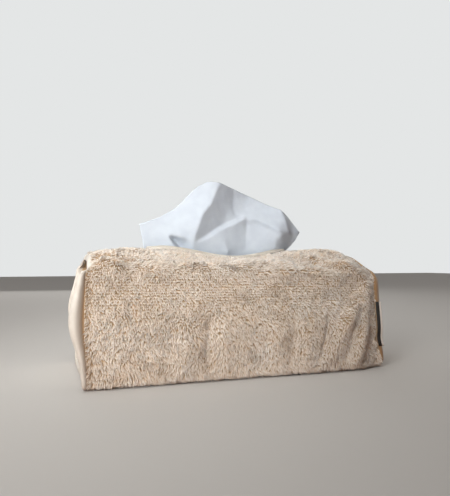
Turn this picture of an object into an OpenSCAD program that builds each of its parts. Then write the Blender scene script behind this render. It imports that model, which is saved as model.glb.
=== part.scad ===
// Tissue box cover: a loose sleeve of terry towelling that a folding carton of tissues slides
// into from one end. The two edges of the cloth meet along the top and are left unsewn in the
// middle, which makes the slot. A tape is folded round each open end and round each lip.
// The frame is millimetres, +Z up, +X along the length and -Y the front. The origin is on the
// surface that the cover stands on, under the middle of its cloth.

/* [Cover] */
// Width of the cover over its front and back walls
cover_w = 120; // [112:1:130]
// Height of the top front edge at the left end
left_edge_h = 95.5; // [94:0.5:104]
// Height of the top front edge where the carton ends
right_edge_h = 93.5; // [93:0.5:100]
// How far the top edge drops past the carton at the right end
right_drop = 8; // [0:1:12]
// Thickness of the towelling with the pile on it
cloth_t = 4; // [3:0.5:5]
// How far the side walls belly out
wall_belly = 1.6; // [0:0.2:3]
// How far the front wall spreads out at the floor, at its widest
foot_spread = 10; // [0:1:12]
// Scale of the folds, 0 for a smooth cover
fold_scale = 1; // [0:0.1:1.2]

/* [Slot] */
// Width of the slot in the middle of its length
slot_w = 24; // [16:1:30]
// Width of the tape over each lip
lip_tape_w = 5; // [3:0.5:7]
// How far that tape puffs up over the hem in the middle of the slot
lip_puff = 2.3; // [0:0.1:3]

/* [End tapes] */
// Thickness of the tape
tape_t = 0.8; // [0.5:0.1:1]
// How far the tape's roll puffs up between seam and fold
tape_puff = 1.3; // [0.4:0.1:1.4]
// How much more it puffs up in the middle of the front and back walls
tape_flare = 2.1; // [0:0.1:3]

/* [Label] */
// Length of the folded label along the seam
label_l = 38; // [20:1:50]
// How far the label stands out of the seam
label_w = 6; // [4:0.5:8]

/* [Carton] */
// Length of the carton
carton_l = 228; // [200:1:230]
// Width of the carton
carton_w = 107; // [90:1:107]
// Height of the carton
carton_h = 81; // [60:1:81]
// Thickness of the carton's board
board_t = 0.6; // [0.4:0.1:1]
// Height of the stack of tissues that is left
stack_h = 68; // [20:1:70]

/* [Hidden] */

half_w = cover_w / 2;
// Radius of the cloth over the top edges and at the floor
top_r = 12;
foot_r = 6;
// How far the roof bellies up on each side, and the share of it that is rounded at the ridge
roof_belly = 1.6;
ridge_share = 0.45;
// The cloth's surface is numbered from the slot, 0, down the wall to the middle of the floor, 5:
// 0 to 1 the roof, 1 to 2 the top edge, 2 to 3 the wall, 3 to 4 the foot and 4 to 5 the base.
// Beside it, from 5 up the back to 10, which is the slot again.
ROUND = 10;
// Inside the tapes the pile is crushed to this layer, measured inwards from the pile's face
crush_out = 2.4;
crush_in = 3.1;
// Share of a fold that reaches the cloth's inner face
inner_fold = 0.6;
// Room between the cloth's full pile and the edge of an end tape
seam_gap = 0.3;
// Length of cloth at a lip that its tape covers, as a share of the roof
lip_share = lip_tape_w / 50;

// Value at t in a table of [t, value] rows, eased from one row to the next
function eased(k) = k * k * (3 - 2 * k);
function row_before(t, table, i = 0) =
    i >= len(table) - 2 || t < table[i + 1][0] ? i : row_before(t, table, i + 1);
function at(t, table) =
    let (
        i = row_before(t, table),
        k = min(1, max(0, (t - table[i][0]) / (table[i + 1][0] - table[i][0])))
    )
    table[i][1] + (table[i + 1][1] - table[i][1]) * eased(k);

// The two halves of the surface: which wall a station is on, and how far it is from the slot
function is_front(q) = q <= ROUND / 2;
function down(q) = is_front(q) ? q : ROUND - q;

// Height of the roof's middle along the length: a hump at each end of the slot, a sag between
roof_mid = [[-130, 101], [-108, 106], [-84, 108.5], [-62, 106.5], [6, 97], [78, 108], [102, 110],
    [124, 104.5]];
// Height of the top edge, front and back
front_edge = [[-130, left_edge_h], [-60, left_edge_h - 1], [105, right_edge_h],
    [127, right_edge_h - right_drop]];
back_edge = [[-130, left_edge_h + 1.5], [-60, left_edge_h], [105, right_edge_h + 1],
    [127, right_edge_h + 1 - right_drop / 2]];

// Where the cloth ends at each mouth, and how wide its tape is there, by station
left_cloth_front = [[0, -116], [1, -118.5], [2, -124.5], [2.45, -125.5], [3, -123], [5, -121.2]];
left_cloth_back = [[0, -116], [1, -115.5], [2, -118], [2.45, -121], [3, -119], [5, -121.2]];
left_tape_front = [[0, 5], [1, 5], [1.9, 6.2], [2.42, 12.4], [2.85, 6.4], [3, 5.4], [5, 4.6]];
left_tape_back = [[0, 5], [1, 5], [1.9, 6], [2.45, 10.4], [2.9, 6], [5, 4.6]];
right_cloth = [[0, 123.5], [1, 122.5], [2, 121.5], [2.7, 121.8], [3, 126.5], [4, 124.5], [5, 122.5]];
right_tape = [[0, 5], [1, 5.5], [2, 7.4], [2.7, 7.2], [3, 4.6], [5, 5]];
// Along the length, the share of its spread that the front wall has at the floor
front_spread = [[-125, 0.2], [-60, 0.4], [0, 0.6], [60, 0.95], [98, 1], [124, 0.35]];

function cloth_end(q, left) =
    !left ? at(down(q), right_cloth)
    : at(down(q), is_front(q) ? left_cloth_front : left_cloth_back);
function end_tape_w(q, left) =
    !left ? at(down(q), right_tape)
    : at(down(q), is_front(q) ? left_tape_front : left_tape_back);

// The slot runs between these two places, and its lips bow apart between them
slot_x0 = -78;
slot_x1 = 67;
function lip_y(x) =
    x <= slot_x0 || x >= slot_x1 ? 0
    : slot_w / 2 * pow(sin(180 * (x - slot_x0) / (slot_x1 - slot_x0)), 0.6);

// One cross-section of the smooth cover, as [distance from the middle, height]
function section(x, d, front) =
    let (
        edge = at(x, front ? front_edge : back_edge),
        lip = [lip_y(x), at(x, roof_mid)],
        hub = [half_w - top_r, edge - top_r],
        reach = norm(hub - lip),
        slope = atan2(hub[1] - lip[1], hub[0] - lip[0]) + asin(top_r / reach),
        meet = hub + top_r * [-sin(slope), cos(slope)],
        turn = (90 + slope) * (2 - d),
        wall = d - 2,
        foot = 90 * (d - 3),
        spread = front ? foot_spread * at(x, front_spread) : 0,
        // where the cloth is sewn shut its middle is rounded over, and along the slot it isn't
        sewn = 1 - min(1, lip[0] / 7),
        ridge = sewn * (meet[1] - lip[1]) * ridge_share / 2 * pow(max(0, 1 - d / ridge_share), 2)
    )
    d <= 1 ? lip + (meet - lip) * d + [0, roof_belly * pow(sin(180 * d), 2) + ridge]
    : d <= 2 ? hub + top_r * [cos(turn), sin(turn)]
    : d <= 3 ? [
        half_w + wall_belly * pow(sin(180 * wall), 2) + spread * eased(wall),
        hub[1] + (foot_r - hub[1]) * wall,
    ]
    : d <= 4 ? [half_w + spread - foot_r + foot_r * cos(foot), foot_r - foot_r * sin(foot)]
    : [(half_w + spread - foot_r) * (5 - d), 0];

// Distance round the cloth from the slot, for placing folds
function run(d) = lookup(d, [[0, 0], [1, 48], [2, 66], [3, 142], [4, 151], [5, 205]]);

// Folds of the cloth: from [x, run] to [x, run], half width and height, on the front and back
front_folds = [
    // top corner at the left: a sunken mouth, a puff beside it and a crease below
    [[-127, 10], [-127, 52], 9, -4.5],
    [[-112, 50], [-106, 51], 8, 3.6],
    [[-117, 24], [-100, 22], 7, 1.2],
    [[-96, 48], [-90, 68], 7, -2.0],
    // hump beside each end of the slot
    [[-92, 14], [-72, 26], 10, 1.4],
    [[84, 10], [100, 22], 10, 1.2],
    // ridge that runs over the top edge into the right corner
    [[72, 36], [93, 52], 6, 2.0],
    [[93, 52], [112, 72], 6, 2.6],
    [[66, 46], [84, 62], 6, -1.6],
    // folds that fan down and left from the right corner
    [[113, 76], [91, 104], 5.5, 2.0],
    [[91, 104], [73, 134], 5.5, 2.0],
    [[104, 76], [84, 98], 5, -1.3],
    [[84, 98], [66, 124], 5, -1.1],
    [[114, 84], [105, 116], 5, 2.0],
    [[105, 116], [97, 138], 5, 2.0],
    [[106, 96], [88, 136], 4.5, -1.2],
    [[118, 118], [110, 140], 5, -1.4],
    // swell and hollow along the top edge, and the soft crease under it
    [[2, 44], [40, 50], 9, 1.7],
    [[48, 54], [84, 50], 8, -1.6],
    [[12, 64], [62, 60], 4.5, 1.3],
    [[10, 71], [60, 68], 4.5, -1.0],
    // shallow upright gathers low on the wall
    [[-101, 100], [-99, 128], 9, 1.0],
    [[-66, 112], [-68, 136], 5, -1.1],
    [[-52, 106], [-54, 138], 5.5, 1.1],
    [[-32, 104], [-34, 136], 5, -1.2],
    [[-20, 100], [-21, 136], 5.5, 1.1],
    [[8, 112], [7, 138], 5, -0.8],
    [[24, 106], [22, 138], 6, 1.0],
    [[40, 104], [36, 138], 5, -1.2],
    [[53, 96], [49, 138], 5, 1.2],
];
back_folds = [
    [[-114, 48], [-98, 50], 10, 2.4],
    [[-96, 62], [-88, 92], 8, -1.6],
    [[-74, 40], [-58, 62], 7, 1.4],
    [[-40, 64], [-44, 100], 7, -1.2],
    [[-6, 60], [-2, 92], 8, 1.0],
    [[34, 56], [30, 88], 7, -1.2],
    [[70, 38], [92, 58], 7, 2.0],
    [[92, 58], [112, 76], 6, 2.0],
    [[113, 82], [94, 116], 6, 2.0],
    [[106, 84], [84, 112], 5, -1.6],
    [[-80, 106], [-82, 136], 6, 1.1],
    [[-24, 108], [-26, 138], 6, -1.0],
    [[18, 106], [20, 138], 6, 1.1],
    [[56, 100], [54, 136], 6, -1.1],
];
function off_line(p, a, b) =
    let (k = min(1, max(0, (p - a) * (b - a) / ((b - a) * (b - a)))))
    norm(p - a - k * (b - a));
function fold_at(p, folds) =
    [for (f = folds) f[3] * exp(-pow(off_line(p, f[0], f[1]) / f[2], 2))] * [for (f = folds) 1];
// The folds die away towards the floor
function fold(x, q) =
    let (s = run(down(q)), flat = eased(min(1, max(0, (150 - s) / 16))))
    fold_scale * flat * fold_at([x, s], is_front(q) ? front_folds : back_folds);

// Point of the cloth at x and station q, lift millimetres outwards from the smooth cover
function plain(x, q) =
    let (f = is_front(q), p = section(x, down(q), f))
    [x, f ? -p[0] : p[0], p[1]];
function outward(x, q) =
    let (
        a = plain(x, max(0, q - 0.02)),
        b = plain(x, min(ROUND, q + 0.02)),
        t = (b - a) / norm(b - a)
    )
    q > 4.02 && q < 5.98 ? [0, 0, -1] : [0, -t[2], t[1]] * -1;
function skin(x, q, lift) = plain(x, q) + lift * outward(x, q);

// Stations round half of the cover, closer where the cloth bends. The first is at the edge of the
// tape over a lip, and the next ones share out the rest of the roof.
lip_edge = 0.11;
half_stations = [
    for (i = [1 : 4]) lip_edge + (1 - lip_edge) * i / 4,
    for (i = [1 : 4]) 1 + i / 4,
    for (i = [1 : 9]) 2 + i / 9,
    for (i = [1 : 3]) 3 + i / 3,
    for (i = [1 : 2]) 4 + i / 2,
];
n_half = len(half_stations);
whole_stations = [
    each half_stations,
    for (i = [n_half - 2 : -1 : 0]) ROUND - half_stations[i],
];
// The sleeve has two more stations on each side, where the tape of a lip ends
sleeve_stations = [0, lip_share, lip_edge, each whole_stations, ROUND - lip_edge, ROUND - lip_share,
    ROUND];
ring_stations = [0, lip_edge, each whole_stations, ROUND - lip_edge];

// Rows of the sleeve along its length, as [share of the cloth between the seams, inside a tape]
n_rows = 38;
slot_row0 = 6;
slot_row1 = 29;
sleeve_rows = [
    [-1, true],
    [-0.02, true],
    for (j = [0 : n_rows]) [j / n_rows, false],
    [1.02, true],
    [2, true],
];
rows_before = 2;
// How far inside each end tape's fold the cloth stops
left_tuck = 2.2;
right_tuck = 4.6;

function row_x(share, q) =
    let (
        left = cloth_end(q, true),
        right = cloth_end(q, false)
    )
    share < 0 ? left + (end_tape_w(q, true) - left_tuck) * share
    : share > 1 ? right + (end_tape_w(q, false) - right_tuck) * (share - 1)
    : left + (right - left) * share;
// The cloth inside a tape stays where the seam holds it
function hold_x(x, q) = min(cloth_end(q, false), max(cloth_end(q, true), x));

function in_slot(j) = j > rows_before + slot_row0 && j < rows_before + slot_row1;
function crushed(i, j) =
    sleeve_rows[j][1] || (in_slot(j) && (i < 2 || i > len(sleeve_stations) - 3));
function sleeve_point(i, j, outer) =
    let (
        q = sleeve_stations[i],
        x = row_x(sleeve_rows[j][0], q),
        thin = crushed(i, j),
        lift = outer ? fold(hold_x(x, q), q) - (thin ? crush_out : 0)
            : inner_fold * fold(hold_x(x, q), q) - (thin ? crush_in : cloth_t),
        p = skin(hold_x(x, q), q, lift)
    )
    [x, p[1], p[2]];

module terry_sleeve() {
    ni = len(sleeve_stations);
    nj = len(sleeve_rows);
    points = [
        for (outer = [true, false], j = [0 : nj - 1], i = [0 : ni - 1]) sleeve_point(i, j, outer)
    ];
    // Past the ends of the slot the last station is the first one again
    function id(i, j, outer) =
        (outer ? 0 : ni * nj) + j * ni + (i == ni - 1 && !in_slot(j) ? 0 : i);
    function quad(a, b, c, d) = [[a, c, b], [a, d, c]];
    faces = [
        for (j = [0 : nj - 2], i = [0 : ni - 2])
            each quad(id(i, j, true), id(i + 1, j, true), id(i + 1, j + 1, true),
                id(i, j + 1, true)),
        for (j = [0 : nj - 2], i = [0 : ni - 2])
            each quad(id(i, j + 1, false), id(i + 1, j + 1, false), id(i + 1, j, false),
                id(i, j, false)),
        for (i = [0 : ni - 2])
            each quad(id(i, 0, false), id(i + 1, 0, false), id(i + 1, 0, true), id(i, 0, true)),
        for (i = [0 : ni - 2])
            each quad(id(i, nj - 1, true), id(i + 1, nj - 1, true), id(i + 1, nj - 1, false),
                id(i, nj - 1, false)),
        for (j = [rows_before + slot_row0 : rows_before + slot_row1 - 1])
            each quad(id(0, j, true), id(0, j + 1, true), id(0, j + 1, false), id(0, j, false)),
        for (j = [rows_before + slot_row0 : rows_before + slot_row1 - 1])
            each quad(id(ni - 1, j + 1, true), id(ni - 1, j, true), id(ni - 1, j, false),
                id(ni - 1, j + 1, false)),
    ];
    color("#cdb79c") polyhedron(points, faces, convexity = 8);
}

// A closed band of quads: rings of equal length, joined end to end or capped
function band_faces(rings, per, closed) = [
    for (k = [0 : rings - (closed ? 1 : 2)], i = [0 : per - 1])
        let (
            a = k * per + i,
            b = k * per + (i + 1) % per,
            c = ((k + 1) % rings) * per + (i + 1) % per,
            d = ((k + 1) % rings) * per + i
        )
        each [[a, b, c], [a, c, d]],
    if (!closed) [for (i = [per - 1 : -1 : 0]) i],
    if (!closed) [for (i = [0 : per - 1]) (rings - 1) * per + i],
];
function turned(faces) = [for (f = faces) [for (k = [len(f) - 1 : -1 : 0]) f[k]]];

// Share of the tape's extra puff at a station: full in the middle of a wall
function flare(q) = at(down(q), [[1.6, 0], [2.42, 1], [2.95, 0]]);

// Lift of the left tape's outer face at a share of its width: a valley at the seam, then a roll
tape_valley = -1.5;
valley_share = 0.18;
function roll(k) =
    let (past = max(0, k - valley_share) / (1 - valley_share))
    pow(sin(180 * pow(past, 0.85)), 0.8);
function crown(k, q) = tape_valley + (tape_puff + tape_flare * flare(q)) * roll(k);

// Section of the left tape at one station, as [share of its width from the seam, lift]
function left_profile(q) =
    let (
        top = [for (k = [0, valley_share, 0.34, 0.52, 0.7, 0.85]) [k, crown(k, q)]],
        under = crush_in + 0.08
    )
    [
        each top,
        [0.96, -1.8],
        [1, -2.7],
        [0.95, -3.6],
        [0.8, -under - tape_t],
        [0, -under - tape_t],
        [0, -under],
        [0.8, -under],
        [0.86, -2.7],
        for (k = [5 : -1 : 0]) [min(top[k][0], 0.8), min(top[k][1] - tape_t, k * 0.08 - 2.3)],
    ];
// The right tape has curled inwards past the edge of the cloth
right_profile = [[0, -1.5], [0.18, -1.2], [0.4, -1.2], [0.6, -1.7], [0.8, -2.6], [0.95, -3.5],
    [1, -4.3], [0.93, -5], [0.8, -5.2], [0.45, -4.2], [0, -4.1], [0, -3.3], [0.45, -3.3], [0.72, -4.1],
    [0.86, -4.2], [0.8, -3.5], [0.6, -2.5], [0.4, -2.1], [0.18, -2], [0, -2.1]];

module end_tape(left) {
    points = [
        for (q = ring_stations)
            let (
                x0 = cloth_end(q, left),
                w = end_tape_w(q, left) * (left ? -1 : 1)
            )
            for (p = left ? left_profile(q) : right_profile)
                let (s = skin(x0, q, fold(x0, q) * (p[1] < -3 ? inner_fold : 1) + p[1]))
                [x0 + w * p[0] + (left ? -seam_gap : seam_gap), s[1], s[2]]
    ];
    per = len(left ? left_profile(0) : right_profile);
    faces = band_faces(len(ring_stations), per, true);
    color("#e9dfcf") polyhedron(points, left ? turned(faces) : faces, convexity = 8);
}

module left_end_tape() {
    end_tape(true);
}

module right_end_tape() {
    end_tape(false);
}

// Tape folded over one lip of the slot, from the pile's edge over the fold and underneath
module lip_tape(front) {
    rows = [for (j = [slot_row0 + 1 : slot_row1 - 1]) j / n_rows];
    // as [share of the way down to the tape's inner edge, lift, share of the puff], past 0 over
    // the slot
    profile = [[1, -0.9, 0], [0.75, -0.5, 0.65], [0.4, -0.4, 1], [0.1, -0.6, 1], [-0.16, -1.4, 0.75],
        [-0.24, -2.5, 0.3], [-0.16, -3.6, 0], [0.1, -4.1, 0], [1, -4.1, 0], [1, -3.3, 0], [0, -3.3, 0],
        [-0.06, -2.5, 0], [0, -1.75, 0], [1, -1.75, 0]];
    points = [
        for (share = rows, p = profile)
            let (
                q = max(0, p[0]) * lip_share,
                station = front ? q : ROUND - q,
                x = row_x(share, station),
                puff = lip_puff * sqrt(lip_y(x) / (slot_w / 2)),
                base = skin(x, station, p[1] + p[2] * puff + fold(x, station)),
                over = min(0, p[0]) * lip_tape_w
            )
            [x, base[1] + (front ? -over : over), base[2]]
    ];
    faces = band_faces(len(rows), len(profile), false);
    color("#cfc6ba") polyhedron(points, front ? faces : turned(faces), convexity = 8);
}

module front_lip_tape() {
    lip_tape(true);
}

module back_lip_tape() {
    lip_tape(false);
}

// Label folded in two and caught in the right seam. It lies on the tape at the seam and then
// stands straight out past its curl.
module woven_label() {
    low_z = 19;
    doubled = 0.9;
    steps = 6;
    shares = [0.03, 0.12, 0.25, 0.4, 0.7, 1];
    wall_h = right_edge_h - right_drop - top_r - foot_r;
    points = [
        for (k = [0 : steps])
            let (
                z = low_z + label_l * k / steps,
                q = 3 - (z - foot_r) / wall_h,
                x = cloth_end(q, false) + seam_gap,
                w = end_tape_w(q, false)
            )
            for (outer = [false, true], i = [0 : len(shares) - 1])
                let (
                    share = shares[outer ? len(shares) - 1 - i : i] * label_w / w,
                    lift = lookup(min(share, 0.4), [for (i = [0 : 2]) right_profile[i]]) + 0.25
                        + (outer ? doubled : 0),
                    base = skin(x, q, fold(x, q) + lift)
                )
                [x + w * share, base[1], base[2]]
    ];
    color("#1d1a18") polyhedron(points, band_faces(steps + 1, 2 * len(shares), false));
}

carton_x0 = -120;
opening_l = 150;
opening_w = 46;
opening_x = -5;
carton_mid_x = carton_x0 + carton_l / 2;

module opening(l, w, h) {
    linear_extrude(h) hull() for (s = [-1, 1]) translate([s * (l - w) / 2, 0]) circle(d = w, $fn = 64);
}

// Folded board, glued shut, with the oval torn out of its top
module tissue_carton() {
    color("#dcdad5") translate([carton_mid_x, 0, cloth_t]) difference() {
        translate([0, 0, carton_h / 2]) cube([carton_l, carton_w, carton_h], center = true);
        translate([0, 0, carton_h / 2])
            cube([carton_l, carton_w, carton_h] - 2 * board_t * [1, 1, 1], center = true);
        translate([opening_x - carton_mid_x, 0, carton_h - 2 * board_t])
            opening(opening_l, opening_w, 3 * board_t);
    }
}

// Clear film glued under the oval. The tissue that is drawn up through its slit holds it open.
film_t = 0.3;
slit_l = 138;
slit_w = 14;
module slit_film() {
    color("#e8eef0", 0.6)
        translate([opening_x, 0, cloth_t + carton_h - board_t - film_t]) difference() {
            translate([0, 0, film_t / 2]) cube([opening_l + 20, opening_w + 16, film_t], center = true);
            translate([0, 0, -film_t]) opening(slit_l, slit_w, 3 * film_t);
        }
}

// The folded tissues that are left, higher in the middle where the last one was drawn up
stack_gap = 2;
module tissue_stack() {
    l = carton_l - 2 * (board_t + stack_gap);
    w = carton_w - 2 * (board_t + stack_gap);
    crown = 3;
    color("#f4f4f2") translate([carton_mid_x + l / 2, 0, cloth_t + board_t]) rotate([90, 0, -90])
        linear_extrude(l) polygon([
            [-w / 2, 0],
            [w / 2, 0],
            for (k = [0 : 12])
                let (y = w / 2 - w * k / 12)
                [y, stack_h - crown * pow(2 * y / w, 2)],
        ]);
}

// The tissue that stands in the slot. Each row is one line of the sheet from the slot to its
// free edge: [x in the slot, x and height of the free edge, then its place towards the back at
// a quarter, a half, three quarters and all of the way up]
tissue_lines = [
    [-71, -74, 126.5, 2, 5, 8, 10],
    [-54, -61, 132, 1, 3, 5, 7],
    [-44, -50, 136.5, -2, -2, 0, 3],
    [-37, -33, 151, -5, -9, -8, -4],
    [-30, -18, 163, -8, -17, -18, -12],
    [-18, -4, 165, -12, -8, -6, -5],
    [-2, 14, 159.5, -8, -9, 1, 3],
    [14, 29, 155.5, -3, -7, 5, 9],
    [24, 44, 151, -6, -7, 3, 10],
    [38, 53, 147, -9, -12, -4, 4],
    [53, 58, 142, -9, -16, -15, -9],
    [59, 73, 134, -2, -5, -5, 1],
    [62, 86, 124, 2, 5, 9, 13],
];
tissue_t = 0.8;
// The foot of the sheet runs back over the stack, a little narrower than the sheet in the slot,
// and rises before it turns up
tissue_foot = 34;
foot_share = 0.94;
foot_rise = 2.2;
foot_z = cloth_t + board_t + stack_h + tissue_t / 2 + 0.1;
// Rows of the sheet, from its foot on the stack through the slit and the slot to its free edge
foot_rows = 3;
neck_rows = 4;
fan_rows = 10;
line_steps = 3;

function line_value(s, k) =
    let (i = min(len(tissue_lines) - 2, floor(s)), f = s - i)
    tissue_lines[i][k] + (tissue_lines[i + 1][k] - tissue_lines[i][k]) * f;
function depth_at(s, t) =
    at(t * 4, [[0, 0], [1, line_value(s, 3)], [2, line_value(s, 4)], [3, line_value(s, 5)],
        [4, line_value(s, 6)]]);
function tissue_point(s, row) =
    let (
        x0 = line_value(s, 0),
        slot_z = at(x0, roof_mid) + 1.5,
        t = (row - foot_rows - neck_rows) / fan_rows,
        k = (row - foot_rows) / neck_rows,
        ripple = 0.7 * sin(140 * s),
        low_z = foot_z + foot_rise
    )
    row < foot_rows ? [
            x0 * foot_share,
            tissue_foot * (1 - row / foot_rows),
            foot_z + foot_rise * eased(row / foot_rows),
        ]
    : t < 0 ? [x0 * (foot_share + (1 - foot_share) * k), ripple * k, low_z + (slot_z - low_z) * k]
    : [
        x0 + (line_value(s, 1) - x0) * t,
        ripple * (1 - t) + depth_at(s, t),
        slot_z + (line_value(s, 2) - slot_z) * t,
    ];

module pulled_tissue() {
    ns = (len(tissue_lines) - 1) * line_steps;
    nr = foot_rows + neck_rows + fan_rows;
    function mid(i, r) = tissue_point(i / line_steps, r);
    function normal(i, r) =
        let (
            a = mid(max(0, i - 1), r),
            b = mid(min(ns, i + 1), r),
            c = mid(i, max(0, r - 1)),
            d = mid(i, min(nr, r + 1)),
            n = cross(b - a, d - c)
        )
        n / norm(n);
    points = [
        for (side = [-1, 1], r = [0 : nr], i = [0 : ns]) mid(i, r) + side * tissue_t / 2 * normal(i, r)
    ];
    function id(i, r, side) = side * (nr + 1) * (ns + 1) + r * (ns + 1) + i;
    function quad(a, b, c, d) = [[a, b, c], [a, c, d]];
    faces = [
        for (r = [0 : nr - 1], i = [0 : ns - 1])
            each quad(id(i, r, 0), id(i + 1, r, 0), id(i + 1, r + 1, 0), id(i, r + 1, 0)),
        for (r = [0 : nr - 1], i = [0 : ns - 1])
            each quad(id(i, r + 1, 1), id(i + 1, r + 1, 1), id(i + 1, r, 1), id(i, r, 1)),
        for (i = [0 : ns - 1]) each quad(id(i, 0, 1), id(i + 1, 0, 1), id(i + 1, 0, 0), id(i, 0, 0)),
        for (i = [0 : ns - 1]) each quad(id(i, nr, 0), id(i + 1, nr, 0), id(i + 1, nr, 1), id(i, nr, 1)),
        for (r = [0 : nr - 1]) each quad(id(0, r, 0), id(0, r + 1, 0), id(0, r + 1, 1), id(0, r, 1)),
        for (r = [0 : nr - 1]) each quad(id(ns, r, 1), id(ns, r + 1, 1), id(ns, r + 1, 0), id(ns, r, 0)),
    ];
    color("#f6f8fa") polyhedron(points, faces, convexity = 8);
}

terry_sleeve();
left_end_tape();
right_end_tape();
front_lip_tape();
back_lip_tape();
woven_label();
tissue_carton();
slit_film();
tissue_stack();
pulled_tissue();
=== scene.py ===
import bpy
import math
import numpy as np
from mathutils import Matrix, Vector
from mathutils.geometry import delaunay_2d_cdt


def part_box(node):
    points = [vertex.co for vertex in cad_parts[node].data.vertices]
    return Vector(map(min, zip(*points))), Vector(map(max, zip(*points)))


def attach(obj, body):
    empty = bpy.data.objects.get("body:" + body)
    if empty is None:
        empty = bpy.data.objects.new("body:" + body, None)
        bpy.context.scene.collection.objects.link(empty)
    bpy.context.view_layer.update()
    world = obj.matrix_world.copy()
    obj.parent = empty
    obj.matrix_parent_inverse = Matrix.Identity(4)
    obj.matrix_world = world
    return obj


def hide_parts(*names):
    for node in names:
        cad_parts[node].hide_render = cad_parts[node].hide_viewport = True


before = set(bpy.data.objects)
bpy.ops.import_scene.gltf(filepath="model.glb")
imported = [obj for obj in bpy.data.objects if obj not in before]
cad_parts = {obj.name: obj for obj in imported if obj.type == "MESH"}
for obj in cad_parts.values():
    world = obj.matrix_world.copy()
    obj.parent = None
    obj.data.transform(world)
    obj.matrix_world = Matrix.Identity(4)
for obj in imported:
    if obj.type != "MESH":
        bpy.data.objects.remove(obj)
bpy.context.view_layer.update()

# The folding carton. Uncoated boxboard, cut and creased from one blank, glued at its ends: a
# short flap lies inside and the long outer flap is stuck down over it.

# Sizes in this file are in millimetres, as in the part's source, and meshes are made in metres.
MM = 0.001


def linear(code, alpha=1.0):
    """An sRGB hex colour as the linear colour that a shader wants."""
    values = [int(code[i:i + 2], 16) / 255 for i in (1, 3, 5)]
    return [v / 12.92 if v <= 0.04045 else ((v + 0.055) / 1.055) ** 2.4 for v in values] + [alpha]


def add(tree, kind, inputs=None, **settings):
    """Adds a node. An input is a value, or the socket of another node that feeds it."""
    made = tree.nodes.new(kind)
    for name, value in settings.items():
        setattr(made, name, value)
    for name, value in (inputs or {}).items():
        if isinstance(value, bpy.types.NodeSocket):
            tree.links.new(value, made.inputs[name])
        else:
            made.inputs[name].default_value = value
    return made


def new_finish(name):
    """A bare material and its node tree."""
    made = bpy.data.materials.new(name)
    made.use_nodes = True
    made.node_tree.nodes.clear()
    return made, made.node_tree


def put_out(tree, shader):
    """Ends a material in its shader."""
    add(tree, "ShaderNodeOutputMaterial", {"Surface": shader})


def two_tone(tree, factor, dark, light, low=0.35, high=0.65):
    """A colour ramp from dark at low to light at high."""
    ramp = add(tree, "ShaderNodeValToRGB", {"Fac": factor})
    for stop, place, colour in zip(ramp.color_ramp.elements, (low, high), (dark, light)):
        stop.position = place
        stop.color = linear(colour)
    return ramp.outputs["Color"]


def cover_with(node, material):
    """Gives a CAD node its finish."""
    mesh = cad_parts[node].data
    mesh.materials.clear()
    mesh.materials.append(material)


def shape(name, points, faces, material, uv=None, smooth=True):
    """A piece from points in millimetres, riding on the one body of the part."""
    mesh = bpy.data.meshes.new(name)
    mesh.from_pydata((np.asarray(points, float) * MM).tolist(), [], [list(f) for f in faces])
    mesh.update()
    if smooth:
        mesh.shade_smooth()
    if uv is not None:
        corners = np.zeros(len(mesh.loops), np.int32)
        mesh.loops.foreach_get("vertex_index", corners)
        layer = mesh.uv_layers.new(name="cut")
        layer.data.foreach_set("uv", (np.asarray(uv, float)[corners] * MM).ravel())
    mesh.materials.append(material)
    piece = bpy.data.objects.new(name, mesh)
    bpy.context.scene.collection.objects.link(piece)
    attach(piece, "root")
    return piece


# Grey fibre flecks about 1.5 mm long in a warm white board, quite matte, with a roughness that
# drifts over clouds 25 mm across
FLECK = 1.5
CLOUD = 25
board, tree = new_finish("uncoated folding boxboard")
where = add(tree, "ShaderNodeTexCoord").outputs["Object"]
fleck = add(tree, "ShaderNodeTexNoise", {"Vector": where, "Scale": 1 / (FLECK * MM), "Detail": 3.0})
mottle = add(tree, "ShaderNodeTexNoise", {"Vector": where, "Scale": 1 / (CLOUD * MM), "Detail": 2.0})
colour = two_tone(tree, fleck.outputs["Fac"], "#cfcabf", "#e3dfd6")
rough = add(tree, "ShaderNodeMapRange", {"Value": mottle.outputs["Fac"], "To Min": 0.65, "To Max": 0.85})
bump = add(tree, "ShaderNodeBump", {"Height": fleck.outputs["Fac"], "Strength": 0.25, "Distance": 0.1 * MM})
put_out(tree, add(tree, "ShaderNodeBsdfPrincipled", {
    "Base Color": colour, "Roughness": rough.outputs["Result"], "Normal": bump.outputs["Normal"],
}).outputs["BSDF"])
cover_with("tissue_carton", board)

carton_low, carton_high = (np.array(corner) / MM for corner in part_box("tissue_carton"))
FLAP_T = 0.5
# How far the flap stops short of the carton's foot, sides and top
FLAP_SHORT = 11
FLAP_SIDE = 0.4
FLAP_TOP = 0.3
FLAP_CORNER = 5
FLAP_CREASE = 0.15
GLUE_T = 0.05


def end_flap(name, left):
    """The outer flap of one end: folded down from the top, its lower corners rounded."""
    half = carton_high[1] - FLAP_SIDE
    low, high = carton_low[2] + FLAP_SHORT, carton_high[2] - FLAP_TOP
    turn = np.radians(np.linspace(0, 90, 7))
    right = np.stack([half - FLAP_CORNER + FLAP_CORNER * np.cos(turn),
                      low + FLAP_CORNER - FLAP_CORNER * np.sin(turn)], -1)
    edge = np.concatenate([[[-half, high], [half, high]], right, right[::-1] * [-1, 1]])
    near = carton_low[0] - GLUE_T if left else carton_high[0] + GLUE_T
    far = near + (-FLAP_T if left else FLAP_T)
    n = len(edge)
    points = [[x, y, z] for x in (near, far) for y, z in edge]
    sides = [[i, (i + 1) % n, n + (i + 1) % n, n + i] for i in range(n)]
    ends = [list(range(n))[::-1], list(range(n, 2 * n))]
    faces = ends + sides
    # Faces are turned so that they all look outwards
    if not left:
        faces = [f[::-1] for f in faces]
    flap = shape(name, points, faces, board, smooth=False)
    soft = flap.modifiers.new("creased edge", "BEVEL")
    soft.width = FLAP_CREASE * MM
    soft.segments = 2
    return flap


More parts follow.
